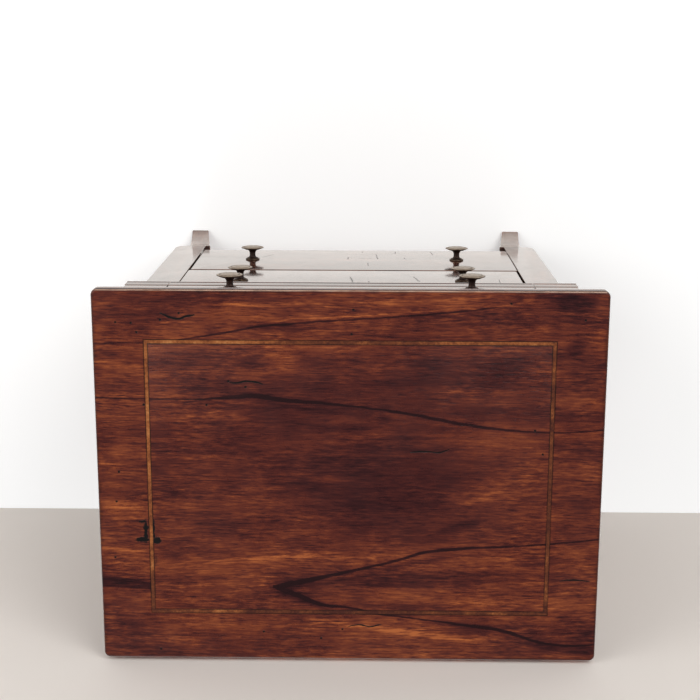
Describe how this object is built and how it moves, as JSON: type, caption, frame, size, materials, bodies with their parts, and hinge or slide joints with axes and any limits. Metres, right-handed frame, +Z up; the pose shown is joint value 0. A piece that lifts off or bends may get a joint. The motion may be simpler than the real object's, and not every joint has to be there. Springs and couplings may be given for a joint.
{
  "type": "miniature chest of drawers",
  "caption": "Small table-top chest of drawers with an inlaid top, a proud frieze drawer over recessed drawers, turned brass knobs and swept front feet.",
  "frame": {"origin": "on the floor under the middle of the whole object's box", "axes": "+Z up, the drawer fronts face -Y, +X to the right seen from the front"},
  "size_m": [0.3, 0.2338, 0.275],
  "materials": {
    "top_wood": "polished",
    "case_wood": "polished",
    "inner_wood": "raw",
    "stringing": "polished",
    "knob_brass": "aged",
    "iron": "dark"
  },
  "bodies": {
    "case": {"top_board": "top_wood", "stringing_front": "stringing", "stringing_back": "stringing", "stringing_left": "stringing", "stringing_right": "stringing", "side_panel_left": "case_wood", "side_panel_right": "case_wood", "front_post_left": "case_wood", "front_post_right": "case_wood", "frieze_post_left": "case_wood", "frieze_post_right": "case_wood", "frieze_return_left": "case_wood", "frieze_return_right": "case_wood", "cove_moulding_front": "case_wood", "cove_moulding_left": "case_wood", "cove_moulding_right": "case_wood", "top_rail_front": "inner_wood", "top_rail_back": "inner_wood", "upper_rail": "case_wood", "lower_rail": "inner_wood", "upper_runner_left": "inner_wood", "upper_runner_right": "inner_wood", "lower_runner_left": "inner_wood", "lower_runner_right": "inner_wood", "bottom_guides": "inner_wood", "drawer_stops": "inner_wood", "bottom_board": "inner_wood", "base_rail": "case_wood", "back_panel": "inner_wood", "front_foot_left": "case_wood", "front_foot_right": "case_wood", "rear_foot_left": "case_wood", "rear_foot_right": "case_wood", "glue_blocks": "inner_wood", "top_screws": "iron", "back_nails": "iron"},
    "top_drawer": {"top_drawer_front": "case_wood", "top_drawer_side_left": "inner_wood", "top_drawer_side_right": "inner_wood", "top_drawer_back": "inner_wood", "top_drawer_bottom": "inner_wood", "top_drawer_knob_left": "knob_brass", "top_drawer_knob_right": "knob_brass", "top_drawer_knob_nuts": "iron"},
    "middle_drawer": {"middle_drawer_front": "case_wood", "middle_drawer_side_left": "inner_wood", "middle_drawer_side_right": "inner_wood", "middle_drawer_back": "inner_wood", "middle_drawer_bottom": "inner_wood", "middle_drawer_knob_left": "knob_brass", "middle_drawer_knob_right": "knob_brass", "middle_drawer_knob_nuts": "iron"},
    "lower_drawer": {"lower_drawer_front": "case_wood", "lower_drawer_side_left": "inner_wood", "lower_drawer_side_right": "inner_wood", "lower_drawer_back": "inner_wood", "lower_drawer_bottom": "inner_wood", "lower_drawer_knob_left": "knob_brass", "lower_drawer_knob_right": "knob_brass", "lower_drawer_knob_nuts": "iron"}
  },
  "joints": [
    {"name": "top_drawer_slide", "type": "slide", "parent": "case", "child": "top_drawer", "axis": [0, -1, 0], "range_m": [0, 0.15]},
    {"name": "middle_drawer_slide", "type": "slide", "parent": "case", "child": "middle_drawer", "axis": [0, -1, 0], "range_m": [0, 0.15]},
    {"name": "lower_drawer_slide", "type": "slide", "parent": "case", "child": "lower_drawer", "axis": [0, -1, 0], "range_m": [0, 0.15]}
  ]
}
